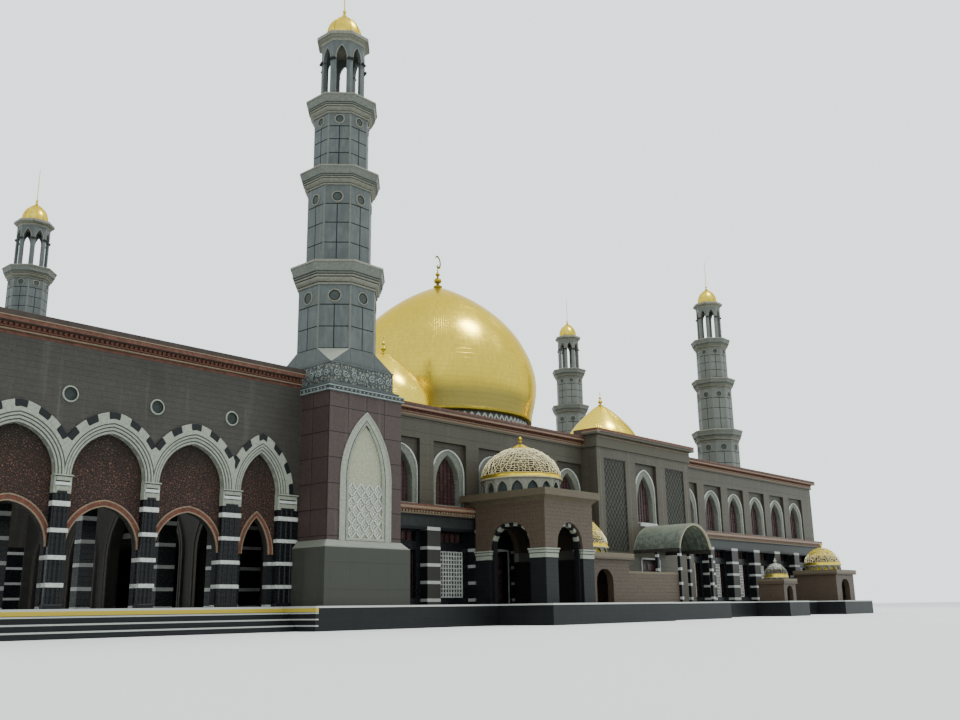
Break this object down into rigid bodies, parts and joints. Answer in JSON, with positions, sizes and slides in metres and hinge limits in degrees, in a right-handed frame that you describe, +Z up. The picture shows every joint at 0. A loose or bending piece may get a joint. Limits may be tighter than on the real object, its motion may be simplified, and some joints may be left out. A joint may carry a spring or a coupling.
{
  "type": "mosque building, 1:10 scale model",
  "caption": "Large domed mosque with tiered minarets, arcaded courtyard wings, domed porches and a barrel canopy on a stepped podium.",
  "frame": {"origin": "on the ground under the top of the main dome, at the middle of the flat underside face the model rests on", "axes": "+X along the long front away from the courtyard, +Y from the pictured front into the building, +Z up"},
  "size_m": [10.638, 5.8, 4.38],
  "materials": {
    "podium_stone": "polished black stone",
    "grey_granite": "flamed granite slabs",
    "floor_stone": "honed stone",
    "roof_screed": "matte screed",
    "terracotta": "matte terracotta blocks",
    "banded_granite": "polished black granite with white bands",
    "gold": "satin gold tiles",
    "brown_granite": "flamed brown granite",
    "minaret_stone": "grey granite panels",
    "minaret_crown": "grey stone with a gilt cupola",
    "inner_brick": "rough mottled wall",
    "pale_stone": "pale dressed stone",
    "porch_granite": "flamed brown granite",
    "brass_lattice": "openwork gilt metal",
    "canopy_sheet": "painted ribbed sheet"
  },
  "bodies": {
    "root": {"podium": "podium_stone", "hall_wall_left_lower_near": "grey_granite", "hall_wall_left_lower_far": "grey_granite", "hall_wall_left_upper_near": "grey_granite", "hall_wall_left_upper_far": "grey_granite", "hall_wall_bay_lower_near": "grey_granite", "hall_wall_bay_lower_far": "grey_granite", "hall_wall_bay_upper_near": "grey_granite", "hall_wall_bay_upper_far": "grey_granite", "hall_wall_right_lower_near": "grey_granite", "hall_wall_right_lower_far": "grey_granite", "hall_wall_right_upper_near": "grey_granite", "hall_wall_right_upper_far": "grey_granite", "hall_wall_court": "grey_granite", "hall_wall_end": "grey_granite", "main_drum": "grey_granite", "wing_walls_near": "grey_granite", "wing_walls_far": "grey_granite", "gallery_floor": "floor_stone", "hall_roof": "roof_screed", "hall_cornice_near": "terracotta", "hall_cornice_far": "terracotta", "hall_cornice_end": "terracotta", "wing_roof_near": "terracotta", "wing_roof_far": "terracotta", "lower_storey_left_near": "banded_granite", "lower_storey_left_far": "banded_granite", "lower_storey_right_near": "banded_granite", "lower_storey_right_far": "banded_granite", "main_dome": "gold", "corner_dome_1": "gold", "corner_dome_2": "gold", "corner_dome_3": "gold", "corner_dome_4": "gold", "minaret_1_tower": "brown_granite", "minaret_1_shaft": "minaret_stone", "minaret_1_crown": "minaret_crown", "minaret_2_tower": "brown_granite", "minaret_2_shaft": "minaret_stone", "minaret_2_crown": "minaret_crown", "minaret_3_tower": "brown_granite", "minaret_3_shaft": "minaret_stone", "minaret_3_crown": "minaret_crown", "minaret_4_tower": "brown_granite", "minaret_4_shaft": "minaret_stone", "minaret_4_crown": "minaret_crown", "wing_recess_wall_near": "inner_brick", "wing_recess_wall_far": "inner_brick", "wing_archivolts_near": "pale_stone", "wing_archivolts_far": "pale_stone", "porch_box": "porch_granite", "annex": "porch_granite", "end_pavilion": "porch_granite", "kiosk": "porch_granite", "screen_wall": "porch_granite", "porch_dome": "brass_lattice", "canopy": "canopy_sheet"}
  },
  "joints": []
}
